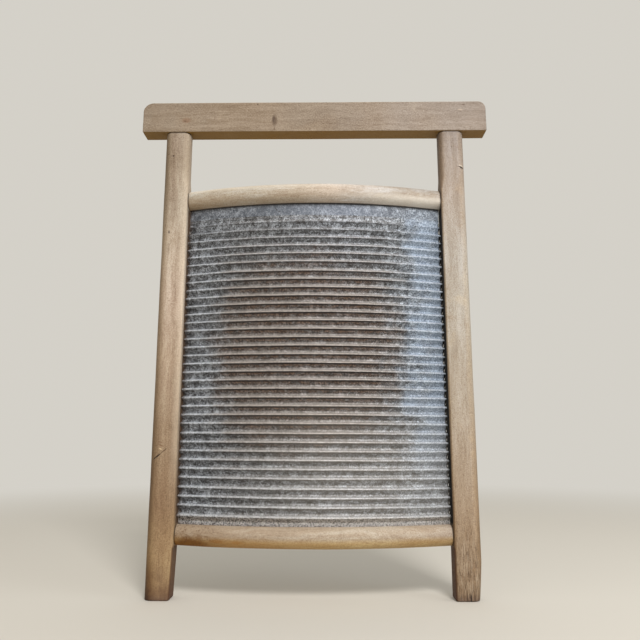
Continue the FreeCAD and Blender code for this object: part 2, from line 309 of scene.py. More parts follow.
def build_post(side, seed):
    """A post: flat inner face, well rounded outer edges, corners that wander a little, and a
    foot worn thin, on the outside of the right post and the inside of the left one."""
    name = "post_left" if side < 0 else "post_right"
    rings, edges = [], []
    foot_ease = 1.6
    nails = [LOWER_BOTTOM + NOSE_RADIUS, UPPER_BOTTOM + NOSE_RADIUS]
    levels = stations(0, BAR_BOTTOM, 2.4, foot_ease, nails + [4.0])
    for z in levels:
        inset = ease_inset(z, foot_ease) + ease_inset(BAR_BOTTOM - z, EASED_EDGE)
        drift = [noise.noise(Vector((seed + k * 5.0, 0, z / 55))) for k in range(4)]
        held = min(1.0, max(0.0, (z - UPPER_TOP) / HELD_RUN))
        inner_radii = [r + held * gain for r, gain in zip(POST_INNER_RADII, HELD_RADII_GAIN)]
        radii = [
            inner_radii[0] + 1.2 * drift[0],
            POST_OUTER_RADIUS + 1.0 * drift[1],
            POST_OUTER_RADIUS + 0.8 * drift[2],
            inner_radii[1],
        ]
        outer = POST_OUTER - inset
        inner = POST_INNER + inset
        if side > 0:
            outer -= RIGHT_FOOT_WEAR * max(0.0, 1 - z / RIGHT_FOOT_WEAR_HEIGHT) ** 1.2
        else:
            inner += LEFT_FOOT_WEAR * max(0.0, 1 - z / LEFT_FOOT_WEAR_HEIGHT) ** 1.2
        corners = [
            (inner, POST_FRONT + inset),
            (outer, POST_FRONT + inset),
            (outer, BACK - inset),
            (inner, BACK - inset),
        ]
        radii = [max(r - inset, 0.4) for r in radii]
        outline, edge = rounded_outline(corners, radii, (14, 2, 24, 12), (6, 9, 9, 7))
        rings.append([(side * x, y, z) for x, y in outline])
        edges.append(edge)
    thing = loft(name, rings, edges)
    weather(thing, seed, 2)
    inner_x = side * POST_INNER
    if side < 0:
        cuts = [
            ((inner_x + 3.5, POST_FRONT - 1.0, -4.5), 9.0, (1, 1.2, 1)),
            ((side * (POST_OUTER - 3), POST_FRONT - 5.0, 157), 6.0, (1.3, 1, 0.5)),
        ]
    else:
        cuts = [
            ((side * 173.8, POST_FRONT - 2.2, -1.4), 3.4, (0.8, 1, 1.3)),
            ((side * 177.5, POST_FRONT - 1.6, -1.2), 2.6, (0.6, 1, 1.6)),
            ((side * (POST_OUTER - 2.2), POST_FRONT + 0.6, 509.5), 2.2, (1.6, 1, 0.6)),
        ]
    carve(thing, cuts)
    dimple(thing, [(side * RAIL_NAIL_X, z) for z in nails])
    return thing


def build_bar():
    """The head bar: square section, its two upper corners rounded in the front view."""
    rings, edges = [], []
    ease = 1.1
    places = stations(-BAR_END, BAR_END, 2.6, ease, [-BAR_NAIL_X, BAR_NAIL_X])
    arc = [1 - math.cos(math.radians(a)) for a in range(8, 90, 8)]
    places += [-BAR_END + BAR_LEFT_RADIUS * d for d in arc]
    places += [BAR_END - BAR_RIGHT_RADIUS * d for d in arc]
    for x in sorted(places):
        end = BAR_END - abs(x)
        inset = ease_inset(end, ease)
        drop = ease_inset(end, BAR_LEFT_RADIUS if x < 0 else BAR_RIGHT_RADIUS)
        drift = [noise.noise(Vector((31.0 + k * 5.0, 0, x / 48))) for k in range(4)]
        radii = [0.8 + 0.3 * drift[0], 0.8 + 0.3 * drift[1], 1.5 + 0.7 * drift[2], 1.6]
        corners = [
            (BAR_FRONT + inset, BAR_BOTTOM + inset),
            (BACK - inset, BAR_BOTTOM + inset),
            (BACK - inset, BAR_TOP - drop),
            (BAR_FRONT + inset, BAR_TOP - drop),
        ]
        radii = [max(r - inset / 2, 0.4) for r in radii]
        outline, edge = rounded_outline(corners, radii, (13, 42, 13, 30), (4, 4, 5, 5))
        rings.append([(x, y, z) for y, z in outline])
        edges.append(edge)
    thing = loft("head_bar", rings, edges)
    weather(thing, 3, 0, wave=0.3)
    dimple(thing, [(-BAR_NAIL_X, BAR_NAIL_Z), (BAR_NAIL_X, BAR_NAIL_Z)])
    return thing


def bow_y(radius, x):
    """Where a circle about the centre of the bow lies, front to back, at x."""
    return BOW_CENTRE_Y - math.sqrt(radius**2 - x**2)


def build_rail(name, bottom, groove_on_top, seed):
    """A rail: flat back, bowed half-round nose, and the groove that takes the sheet.
    Each ring is (y, height above the middle, nearness to an edge), drawn groove upwards."""
    rings, edges = [], []
    middle = bottom + NOSE_RADIUS
    end, ease = POST_INNER - RAIL_GAP, 0.7
    up = 1 if groove_on_top else -1
    for x in stations(-end, end, 2.4, ease):
        inset = ease_inset(end - abs(x), ease)
        half_height = NOSE_RADIUS - inset
        back = BACK - inset
        front = bow_y(NOSE_LINE_RADIUS, x)
        ring = []
        for k in range(25):
            t = math.radians(-90 + 180 * k / 24)
            radius = NOSE_LINE_RADIUS + half_height * math.cos(t)
            ring.append((bow_y(radius, x), half_height * math.sin(t), 0.0))
        mouth_front = bow_y(SHEET_RADIUS + GROOVE_CLEARANCE, x)
        mouth_back = bow_y(SHEET_RADIUS - SHEET_THICKNESS - GROOVE_CLEARANCE, x)
        depths = (0.0, GROOVE_LIP, GROOVE_DEPTH)
        ring += [(mouth_front, half_height - d, 0.4) for d in depths]
        ring += [(mouth_back, half_height - d, 0.4) for d in depths[::-1]]
        flat_end = back - RAIL_BACK_RADIUS
        for k in range(1, 14):
            ring.append((mouth_back + (flat_end - mouth_back) * k / 14, half_height, 0.0))
        side_height = half_height - RAIL_BACK_RADIUS
        arc = []
        for k in range(5):
            t = math.radians(90 - 90 * k / 4)
            y = flat_end + RAIL_BACK_RADIUS * math.cos(t)
            h = side_height + RAIL_BACK_RADIUS * math.sin(t)
            arc.append((y, h, math.sin(math.pi * k / 4)))
        ring += arc
        ring += [(back, side_height * (1 - 2 * k / 12), 0.0) for k in range(1, 12)]
        ring += [(y, -h, edge) for y, h, edge in arc[::-1]]
        for k in range(1, 16):
            ring.append((flat_end + (front - flat_end) * k / 16, -half_height, 0.0))
        rings.append([(x, y, middle + up * h) for y, h, _ in ring])
        edges.append([edge for _, _, edge in ring])
    thing = loft(name, rings, edges)
    weather(thing, seed, 0, wave=0.28)
    thing.data.set_sharp_from_angle(angle=math.radians(50))
    return thing


# ---- the corrugated sheet ------------------------------------------------------------


def crest_heights():
    """The height of each ridge's crest, from the top ridge down."""
    heights = []
    z = LOWEST_CREST
    for count, gap in zip(RIDGE_GROUPS, GROUP_GAPS + (0.0,)):
        for _ in range(count):
            heights.append(z)
            z += RIDGE_PITCH
        z += gap
    return heights[::-1]


def sheet_profile():
    """Front-face points of the sheet from top to bottom, as (radius, height, normal), and
    two phases for each: seen from the face above it and from the face below it. The phase
    runs from 0 on a crest to 1 on the next crest below; it is -1 on the flat margins."""
    flanks, deep = 0.0, RIDGE_DEPTH
    for _ in range(40):
        flanks = math.atan(deep / RIDGE_STEEP) + math.atan(deep / RIDGE_GENTLE)
        lost = 1 / math.cos(flanks / 2) - 1
        deep = RIDGE_DEPTH + (CREST_RADIUS + VALLEY_RADIUS) * lost
    valley = SHEET_RADIUS - VALLEY_RADIUS * lost
    flat = (SHEET_RADIUS - valley) / deep
    crests = crest_heights()
    corners = [(SHEET_RADIUS, SHEET_TOP)]
    corners.append((SHEET_RADIUS, crests[0] + RIDGE_STEEP * (1 - flat / TOP_RIDGE_SHARE)))
    corners.append((valley + deep * TOP_RIDGE_SHARE, crests[0]))
    rounds = [VALLEY_RADIUS, CREST_RADIUS]
    for crest in crests[1:]:
        corners += [(valley, crest + RIDGE_STEEP), (valley + deep, crest)]
        rounds += [VALLEY_RADIUS, CREST_RADIUS]
    corners.append((SHEET_RADIUS, crests[-1] - RIDGE_GENTLE * (1 - flat)))
    rounds.append(VALLEY_RADIUS)
    corners.append((SHEET_RADIUS, SHEET_BOTTOM))
    corners = [np.array(c, float) for c in corners]

    path, crest_rows = [], []
    for k in range(5):
        path.append(corners[0] + (corners[1] - corners[0]) * k / 6)
    for before, corner, after, radius in zip(corners, corners[1:], corners[2:], rounds):
        steps = 6 if radius == CREST_RADIUS else 4
        if radius == CREST_RADIUS:
            crest_rows.append(len(path) + steps // 2)
        path += fillet(before, corner, after, radius, steps)
    for k in range(1, 6):
        path.append(path[-1] + (corners[-1] - path[-1]) * k / 5)

    rows, from_above, from_below = [], [], []
    lines = [path[i][1] for i in crest_rows]
    lines = [lines[0] + RIDGE_PITCH] + lines + [lines[-1] - RIDGE_PITCH]
    for i, point in enumerate(path):
        run = path[min(i + 1, len(path) - 1)] - path[max(i - 1, 0)]
        run = run / np.linalg.norm(run)
        rows.append((point[0], point[1], np.array([-run[1], run[0]])))
        passed = sum(1 for r in crest_rows if r <= i)
        phase = (lines[passed] - point[1]) / (lines[passed] - lines[passed + 1])
        if point[1] > crests[0] + RIDGE_STEEP or point[1] < crests[-1] - RIDGE_GENTLE:
            phase = -1.0
        from_below.append(phase)
        from_above.append(1.0 if i in crest_rows else phase)
    return rows, from_above, from_below


def build_sheet(columns=99):
    """One thin sheet: a front and a back skin joined round the edge, bowed about the centre
    of the bow, with small dents and slightly uneven ridges."""
    rows, from_above, from_below = sheet_profile()
    half_angle = math.asin((POST_INNER - SHEET_SIDE_GAP) / SHEET_RADIUS)
    count = len(rows)
    points, faces = [], []
    rng = np.random.RandomState(11)
    dents = [
        (rng.uniform(-130, 130), rng.uniform(95, 435), rng.uniform(4, 12), rng.uniform(0.2, 0.7))
        for _ in range(DENTS)
    ]
    dent_x, dent_z, dent_size, dent_depth = np.array(dents).T
    for layer in (0, 1):
        for radius, z, outward in rows:
            r0 = radius - outward[0] * SHEET_THICKNESS * layer
            z0 = z - outward[1] * SHEET_THICKNESS * layer
            to_edge = min(z - SHEET_BOTTOM, SHEET_TOP - z)
            inside = min(1.0, max(0.0, (to_edge - SHEET_MARGIN) / SHEET_MARGIN_FADE))
            relief = np.clip((radius - SHEET_RADIUS) / RIDGE_DEPTH, -0.2, 1.0)
            for c in range(columns + 1):
                share = 2 * c / columns - 1
                ragged = noise.noise(Vector((share * 3, z / 4.0, 5.0))) * abs(share) ** 40
                bitten = 0.4 * abs(ragged) / SHEET_RADIUS
                angle = half_angle * share - math.copysign(bitten, share)
                x = SHEET_RADIUS * math.sin(angle)
                lift = 0.35 * noise.noise(Vector((x / 70, z / 60, 2.0)))
                lift += 0.22 * noise.noise(Vector((x / 16, z / 9, 8.0))) * max(relief, 0)
                sag = 0.3 * noise.noise(Vector((x / 60, z / 8, 21.0)))
                near = np.exp(
                    -(((x - dent_x) / dent_size) ** 2) - ((z - dent_z) / (dent_size * 0.5)) ** 2
                )
                lift -= float((near * dent_depth).sum()) * max(relief, 0.15)
                r = r0 + (lift - 0.25) * inside
                points.append((
                    r * math.sin(angle),
                    BOW_CENTRE_Y - r * math.cos(angle),
                    z0 + (sag - RIDGE_DROP - RIDGE_SLOPE * x) * inside,
                ))
    width = columns + 1
    back = count * width
    for i in range(count - 1):
        a, b = i * width, (i + 1) * width
        for c in range(columns):
            faces.append((a + c, b + c, b + c + 1, a + c + 1))
            faces.append((back + a + c, back + a + c + 1, back + b + c + 1, back + b + c))
        faces.append((a, back + a, back + b, b))
        faces.append((a + columns, b + columns, back + b + columns, back + a + columns))
    last = (count - 1) * width
    for c in range(columns):
        faces.append((c, c + 1, back + c + 1, back + c))
        faces.append((last + c, back + last + c, back + last + c + 1, last + c + 1))
    thing = make_object("zinc_sheet", np.array(points), faces, {})
    corner = np.zeros(len(thing.data.loops), int)
    thing.data.loops.foreach_get("vertex_index", corner)
    row = (corner.reshape(-1, 4) % back) // width
    upper = row == row.min(axis=1)[:, None]
    phase = np.where(upper, np.array(from_below)[row], np.array(from_above)[row])
    layer = thing.data.attributes.new("phase", "FLOAT", "CORNER")
    layer.data.foreach_set("value", phase.ravel().astype(np.float32))
    thing.data.set_sharp_from_angle(angle=math.radians(60))
    return thing


# ---- materials -----------------------------------------------------------------------


class Graph:
    """Short names for the nodes that the materials here are made of. Paints are laid over
    one colour, and marks sunk into one height, until finish hands both to the shader."""

    def __init__(self, name):
        self.material = bpy.data.materials.new(name)
        self.material.use_nodes = True
        self.tree = self.material.node_tree
        self.tree.nodes.clear()
        self.output = self.node("ShaderNodeOutputMaterial")
        self.shader = self.node("ShaderNodeBsdfPrincipled")
        self.tree.links.new(self.shader.outputs["BSDF"], self.output.inputs["Surface"])
        place = self.node("ShaderNodeTexCoord").outputs["Object"]
        self.mm = self.vector("MULTIPLY", place, (1 / MM, 1 / MM, 1 / MM))
        self.x, self.y, self.z = self.split(self.mm)
        self.colour = self.height = None

    def node(self, kind):
        return self.tree.nodes.new(kind)

    def feed(self, socket, value):
        if isinstance(value, bpy.types.NodeSocket):
            self.tree.links.new(value, socket)
        else:
            socket.default_value = value

    def split(self, vector):
        parts = self.node("ShaderNodeSeparateXYZ")
        self.feed(parts.inputs[0], vector)
        return tuple(parts.outputs)

    def vector(self, operation, a, b=(0.0, 0.0, 0.0)):
        node = self.node("ShaderNodeVectorMath")
        node.operation = operation
        self.feed(node.inputs[0], a)
        self.feed(node.inputs[1], b)
        return node.outputs["Value" if operation == "LENGTH" else "Vector"]

    def math(self, operation, a, b=0.5, c=0.5):
        node = self.node("ShaderNodeMath")
        node.operation = operation
        for socket, value in zip(node.inputs, (a, b, c)):
            self.feed(socket, value)
        return node.outputs[0]

    def times(self, *factors):
        product = factors[0]
        for factor in factors[1:]:
            product = self.math("MULTIPLY", product, factor)
        return product

    def plus(self, a, b):
        return self.math("ADD", a, b)

    def blend(self, *parts):
        """The sum of (value, weight) parts."""
        total = self.times(*parts[0])
        for value, weight in parts[1:]:
            total = self.math("MULTIPLY_ADD", value, weight, total)
        return total

    def attribute(self, name):
        node = self.node("ShaderNodeAttribute")
        node.attribute_name = name
        return node.outputs["Fac"]

    def noise(self, vector, size, detail, roughness=0.5):
        """Cloudy noise, 0 to 1, with lumps of about the given size in the vector's units."""
        node = self.node("ShaderNodeTexNoise")
        self.feed(node.inputs["Vector"], vector)
        node.inputs["Scale"].default_value = 1.0 / size
        node.inputs["Detail"].default_value = detail
        node.inputs["Roughness"].default_value = roughness
        return node.outputs["Fac"]

    def cells(self, vector, size):
        """Random cells of about the given size, each with a colour of its own."""
        node = self.node("ShaderNodeTexVoronoi")
        self.feed(node.inputs["Vector"], vector)
        node.inputs["Scale"].default_value = 1.0 / size
        return node

    def remap(self, value, low, high, to_low=0.0, to_high=1.0, kind="SMOOTHSTEP"):
        """Eases from to_low to to_high while the value goes from low to high."""
        node = self.node("ShaderNodeMapRange")
        node.interpolation_type = kind
        for socket, v in zip(node.inputs, (value, low, high, to_low, to_high)):
            self.feed(socket, v)
        return node.outputs[0]

    def slide(self, *values):
        """The same along a straight line."""
        return self.remap(*values, kind="LINEAR")

    def mix(self, share, a, b, blend="MIX"):
        """Colour a covered by b, by its share. A colour of three parts is opaque."""
        node = self.node("ShaderNodeMix")
        node.data_type = "RGBA"
        node.blend_type = blend
        node.clamp_result = True
        self.feed(node.inputs["Factor"], share)
        for socket, value in zip(node.inputs[6:8], (a, b)):
            self.feed(socket, (*value, 1.0) if isinstance(value, tuple) else value)
        return node.outputs[2]

    def lay(self, paint, *shares):
        """Lays a paint, or a 0 to 255 screen colour, over the colour by its shares' product."""
        if isinstance(paint, tuple):
            paint = rgb(*paint)
        self.colour = self.mix(self.times(*shares), self.colour, paint)

    def tint(self, tint, *shares):
        """Multiplies the colour by a tint, by the product of its shares."""
        self.colour = self.mix(self.times(*shares), self.colour, tint, "MULTIPLY")

    def ramp(self, value, stops):
        """A colour for each value, from (value, colour) stops."""
        node = self.node("ShaderNodeValToRGB")
        ramp = node.color_ramp
        while len(ramp.elements) < len(stops):
            ramp.elements.new(0.5)
        for element, (place, colour) in zip(ramp.elements, stops):
            element.position = place
            element.color = (*colour, 1.0)
        self.feed(node.inputs[0], value)
        return node.outputs[0]

    def spot(self, centre, size, soft, tilt=0.0):
        """1 inside a small ellipsoid, fading to 0 at its rim. Centre and half sizes in mm,
        tilt in degrees to the right of upright, seen from the front."""
        moved = self.vector("SUBTRACT", self.mm, centre)
        if tilt:
            turn = self.node("ShaderNodeVectorRotate")
            turn.rotation_type = "Y_AXIS"
            turn.inputs["Angle"].default_value = -math.radians(tilt)
            self.feed(turn.inputs["Vector"], moved)
            moved = turn.outputs[0]
        scaled = self.vector("DIVIDE", moved, size)
        return self.remap(self.vector("LENGTH", scaled), 1.0, soft)

    def sink(self, share, depth):
        """Lowers the height by a depth, by its share."""
        self.height = self.math("SUBTRACT", self.height, self.times(share, depth))

    def finish(self, roughness, relief, metallic=0.0):
        """Gives the shader its colour, its finish and a bump of the given relief in m."""
        node = self.node("ShaderNodeBump")
        node.inputs["Strength"].default_value = 1.0
        node.inputs["Distance"].default_value = relief
        self.feed(node.inputs["Height"], self.height)
        self.feed(self.shader.inputs["Normal"], node.outputs[0])
        self.feed(self.shader.inputs["Roughness"], roughness)
        self.feed(self.shader.inputs["Metallic"], metallic)
        self.feed(self.shader.inputs["Base Color"], self.colour)


def rgb(red, green, blue):
    """A colour given as 0 to 255 screen values, turned into the linear values of a shader."""
    linear = []
    for value in (red, green, blue):
        v = value / 255
        linear.append(v / 12.92 if v <= 0.04045 else ((v + 0.055) / 1.055) ** 2.4)
    return tuple(linear)


def wood(name, axis, seed, light, mid, dark, grey_share, tints, extra):
    """Bleached, sun-dried beech with its grain along one axis. The tints are (place in mm,
    colour) stops along the piece that the wood's own colour is multiplied by; they carry
    painted light and shade along the piece as well as its tone. Extra lays the marks of one
    piece, painted shade and highlights among them, and gives the share of its surface that
    is painted shade in a dark gap."""
    g = Graph(f"bleached_{name}_wood")
    shifted = g.vector("ADD", g.mm, (seed * 13.0, seed * 7.0, seed * 3.0))
    lean = g.slide(g.noise(shifted, 90.0, 1.0), 0.0, 1.0, -9.0, 9.0)
    lean_vector = g.node("ShaderNodeCombineXYZ")
    for i, socket in enumerate(lean_vector.inputs):
        if i != axis:
            g.feed(socket, lean)
    wandering = g.vector("ADD", shifted, lean_vector.outputs[0])

    def drawn_out(share):
        """Places shrunk along the grain, so that noise over them is drawn out along it."""
        scale = [1.0, 1.0, 1.0]
        scale[axis] = share
        return g.vector("MULTIPLY", wandering, scale)

    grain = drawn_out(0.07)
    broad = g.noise(grain, 9.0, 3.0, 0.55)
    streak = g.noise(grain, 1.5, 4.0, 0.6)
    fine = g.noise(grain, 0.5, 3.0, 0.6)
    flecks = g.remap(g.noise(drawn_out(0.22), 0.75, 2.0), 0.58, 0.70)
    pores = g.remap(g.noise(drawn_out(0.30), 0.42, 1.0), 0.60, 0.72)
    blotch = g.noise(shifted, 26.0, 4.0, 0.62)
    cloud = g.noise(shifted, 70.0, 2.0)
    crumbs = g.noise(shifted, 2.2, 3.0, 0.7)
    dust = g.noise(shifted, 1.1, 3.0, 0.8)

    tone = g.blend((broad, 0.50), (streak, 0.32), (crumbs, 0.18))
    g.colour = g.ramp(tone, [(0.30, dark), (0.47, mid), (0.62, light)])
    g.lay((168, 158, 147), g.remap(cloud, 0.42, 0.66, 0.0, grey_share))
    g.lay((138, 112, 84), g.remap(blotch, 0.56, 0.74, 0.0, 0.34))
    g.lay((205, 188, 163), g.remap(blotch, 0.42, 0.28, 0.0, 0.30))
    g.lay((112, 84, 60), flecks, 0.42)
    g.lay((120, 98, 76), g.remap(fine, 0.60, 0.72, 0.0, 0.25))
    g.lay((104, 78, 56), pores, 0.55)
    g.lay((104, 78, 56), g.remap(dust, 0.48, 0.38, 0.0, 0.24))
    g.lay((236, 224, 206), g.remap(dust, 0.52, 0.62, 0.0, 0.24))
    g.lay((206, 188, 164), g.attribute("edge"), g.remap(crumbs, 0.30, 0.55), 0.38)

    dots = g.cells(shifted, 21.0)
    picked = g.remap(g.split(dots.outputs["Color"])[0], 0.30, 0.28)
    pits = g.times(g.remap(dots.outputs["Distance"], 0.045, 0.03), picked)
    g.lay((74, 52, 38), pits, 0.75)
    g.height = g.blend((streak, 0.5), (fine, 0.35), (flecks, -0.30), (pits, -1.6))

    first, last = tints[0][0], tints[-1][0]
    share = g.slide((g.x, g.y, g.z)[axis], first, last)
    g.tint(g.ramp(share, [((at - first) / (last - first), tint) for at, tint in tints]), 1.0)
    gap = extra(g)
    rough = g.plus(g.blend((streak, 0.22), (blotch, 0.2)), 0.48)
    g.shader.inputs["Specular IOR Level"].default_value = 0.32
    g.finish(g.math("MAXIMUM", rough, gap), WOOD_RELIEF)
    return g.material


def marks(g, spots):
    """Lays small stains, knots, nicks and cracks over the wood, and spots of painted shade.
    Each is (centre, half sizes, colour, share, depth) and, if it leans, its tilt."""
    rough_edge = g.remap(g.noise(g.mm, 1.6, 2.0, 0.6), 0.25, 0.5, 0.45, 1.0)
    for centre, size, paint, share, depth, *tilt in spots:
        inside = g.times(g.spot(centre, size, 0.35, *tilt), rough_edge)
        g.lay(paint, inside, share)
        if depth:
            g.sink(inside, depth)


STAIN = (84, 60, 42)
# Sooty brown: soot in nicks and cracks, and painted shade at joints between parts.
SOOT_AND_JOINT_SHADE = (44, 31, 24)
# Near black: painted shade in the gaps beside the posts under the head bar, and dark cracks.
CRACK_AND_GAP_SHADE = (20, 13, 9)
WOOD_RELIEF = 0.00035
ZINC_RELIEF = 0.00022
NAIL_RELIEF = 0.0002


def bar_extra(g):
    """The knot and nicks of the head bar, and painted shade where it meets the posts and over
    its underside.
    """
    f = BAR_FRONT
    spots = [
        ((-50.4, f, 574.5), (4.8, 4, 11.0), (92, 74, 59), 0.85, 0.1),
        ((-51.5, f, 576.0), (2.2, 3, 6.5), (70, 54, 44), 0.60, 0.2),
        ((-50.5, f, 563.0), (1.6, 2, 3.0), (98, 76, 60), 0.6, 0.1),
        ((-163, f, 575), (8.0, 3, 5.0), (124, 84, 58), 0.40, 0.0),
        ((-164.6, f, 574), (2.6, 2, 1.5), STAIN, 0.75, 0.3),
        ((-170, f, 577.5), (1.8, 2, 1.0), STAIN, 0.4, 0.2),
        ((-159, f, 571), (1.3, 2, 0.9), SOOT_AND_JOINT_SHADE, 0.45, 0.3),
        ((190, f, 595), (3.2, 3, 0.9), STAIN, 0.7, 0.6),
        ((186, f, 588), (4.2, 3, 0.9), (206, 186, 164), 0.5, 0.0),
    ]
    # Painted shade on the head bar's underside on both sides of each post, where the parts meet.
    under = BAR_BOTTOM + 0.5
    for side in (-1, 1):
        for x in (POST_INNER - 2.0, POST_OUTER + 3.0):
            spots.append(((side * x, 6, under), (2.6, 5, 1.6), CRACK_AND_GAP_SHADE, 0.95, 0.0))
    marks(g, spots)
    # Painted shade over the head bar's underside, darker and a warmer brown than its front.
    normal = g.node("ShaderNodeNewGeometry").outputs["Normal"]
    below = g.remap(g.split(normal)[2], -0.75, -0.97)
    g.lay((124, 90, 26), below, 0.85)
    return 0.0


def post_extra(g, side):
    """The nicks and cracks of a post, its dirty foot, painted shade on the rounded sides turned
    from the light and where it meets the head bar, a pale band of wear and painted highlight
    along the inner edge of the left post, and painted shade on the inner face in the gap behind
    the sheet's edge, whose share it gives, and on the inner side of the legs."""
    f = POST_FRONT
    if side < 0:
        spots = [
            ((-177.4, f, 527), (1.4, 3, 1.6), SOOT_AND_JOINT_SHADE, 0.9, 1.5),
            ((-184, f + 2, 529), (3.0, 4, 0.9), STAIN, 0.55, 0.8),
            ((-178.6, f, 426.5), (1.1, 3, 3.0), SOOT_AND_JOINT_SHADE, 0.85, 1.2),
            ((-178.5, f, 402), (1.0, 3, 9.0), STAIN, 0.35, 0.3),
            ((-180.3, f + 1, 156.3), (1.1, 9, 8.0), SOOT_AND_JOINT_SHADE, 1.0, 2.0, 52),
            ((-172.5, f + 1, 162.8), (0.8, 8, 6.0), STAIN, 0.80, 1.2, 50),
            ((-176.3, f, 168.7), (5.0, 5, 1.0), (112, 78, 52), 0.65, 0.4, 20),
            ((-177.3, f, 172.5), (4.0, 5, 0.9), (112, 78, 52), 0.55, 0.3, 12),
            ((-176.8, f, 165.0), (2.6, 4, 1.0), (232, 206, 170), 0.60, 0.0, 30),
            ((-171, f, 30), (6.0, 6, 12.0), (112, 84, 60), 0.35, 0.0),
        ]
    else:
        spots = [
            ((184.4, f + 2, 510), (1.1, 8, 4.5), CRACK_AND_GAP_SHADE, 1.0, 2.0, 105),
            ((184.0, f + 2, 512.4), (1.0, 8, 3.5), (236, 224, 206), 0.6, 0.0, 100),
            ((180.5, f, 510.8), (3.0, 3, 0.6), STAIN, 0.6, 0.8),
            ((173.8, f, 3.4), (1.1, 4, 7.5), SOOT_AND_JOINT_SHADE, 1.0, 1.6),
            ((169.5, f, 6), (0.7, 3, 9.0), SOOT_AND_JOINT_SHADE, 0.75, 1.0),
            ((166.0, f, 4), (0.6, 3, 7.0), STAIN, 0.8, 0.8),
            ((178, f, 5), (0.8, 3, 8.0), SOOT_AND_JOINT_SHADE, 0.75, 1.0),
        ]
        split = g.vector("MULTIPLY", g.mm, (1.0, 1.0, 0.08))
        cracks = g.remap(g.noise(split, 0.9, 4.0, 0.75), 0.53, 0.66)
        cracks = g.times(cracks, g.remap(g.z, 140.0, 10.0, 0.0, 0.85))
        g.lay((78, 58, 46), cracks)
        g.sink(cracks, 1.0)
        ash = g.remap(g.noise(split, 1.3, 3.0, 0.7), 0.52, 0.40)
        g.lay((196, 180, 160), ash, g.remap(g.z, 120.0, 10.0, 0.0, 0.42))
    patch = g.remap(g.noise(g.mm, 14.0, 3.0, 0.6), 0.35, 0.65, 0.2, 1.0)
    g.lay((118, 92, 68), g.slide(g.z, 110.0, 0.0, 0.0, 0.45), patch)
    g.lay((96, 76, 66), g.slide(g.z, 9.0, 0.0, 0.0, 0.75))
    if side < 0:
        g.lay((92, 62, 46), g.remap(g.z, 30.0, 0.0, 0.0, 0.55), patch)
        # Painted shade on the left post's outer side, which is turned from the light, darker and
        # browner towards the foot.
        outer_side_shade = g.remap(g.x, -173.0, -184.0)
        g.tint((0.78, 0.75, 0.70), outer_side_shade)
        g.tint((0.62, 0.52, 0.42), outer_side_shade, g.remap(g.z, 60.0, 20.0))
        # A pale band along the left post's inner edge: worn wood and a painted highlight where
        # the light falls.
        rubbed_and_highlit = g.remap(g.x, -168.0, -160.0, 0.0, 0.24)
        ends = (g.remap(g.z, 90.0, 180.0), g.remap(g.z, 520.0, 460.0, 0.5, 1.0))
        g.lay((228, 214, 194), rubbed_and_highlit, *ends)
    else:
        # Painted shade on both rounded sides of the right post's lower part.
        off_middle = g.math("ABSOLUTE", g.plus(g.x, -(POST_INNER + POST_OUTER) / 2))
        g.tint((0.82, 0.78, 0.72), g.remap(off_middle, 8.0, 14.0), g.remap(g.z, 190.0, 140.0))
    # Painted shade along the top of the post, where it meets the head bar's underside.
    g.lay(SOOT_AND_JOINT_SHADE, g.remap(g.z, BAR_BOTTOM - 2.2, BAR_BOTTOM - 0.6, 0.0, 0.85))
    marks(g, spots)

    # Painted shade on the posts' faces that turn left, away from the light, and on the right
    # post's right-facing side.
    across = g.split(g.node("ShaderNodeNewGeometry").outputs["Normal"])[0]
    side_shade_tint = (0.68, 0.63, 0.56) if side < 0 else (0.52, 0.46, 0.39)
    g.tint(side_shade_tint, g.remap(across, -0.15, -0.80))
    if side > 0:
        g.tint((0.84, 0.85, 0.85), g.remap(across, 0.15, 0.80))
    # Painted shade on the post's inner face between the rails, in the gap behind the sheet's
    # edge: near black on the right post, brown on the left.
    inner = g.remap(g.math("ABSOLUTE", g.x), POST_INNER + 2.0, POST_INNER + 0.6)
    depth = POST_FRONT + (7.0 if side < 0 else 1.5)
    above_rail = g.remap(g.z, LOWER_TOP - 1, LOWER_TOP + 2)
    below_rail = g.remap(g.z, UPPER_BOTTOM + 1, UPPER_BOTTOM - 2)
    painted_gap_shade = g.times(inner, g.remap(g.y, depth, depth + 2.5), above_rail, below_rail)
    g.lay((92, 70, 52) if side < 0 else (12, 7, 5), painted_gap_shade)
    # Painted shade on the inner side of the legs below the lower rail.
    facing_in = g.remap(g.times(across, -side), 0.35, 0.85)
    under_rail = g.remap(g.z, LOWER_BOTTOM + 2, LOWER_BOTTOM - 2)
    g.lay((76, 46, 28), facing_in, under_rail, 0.80)
    return painted_gap_shade


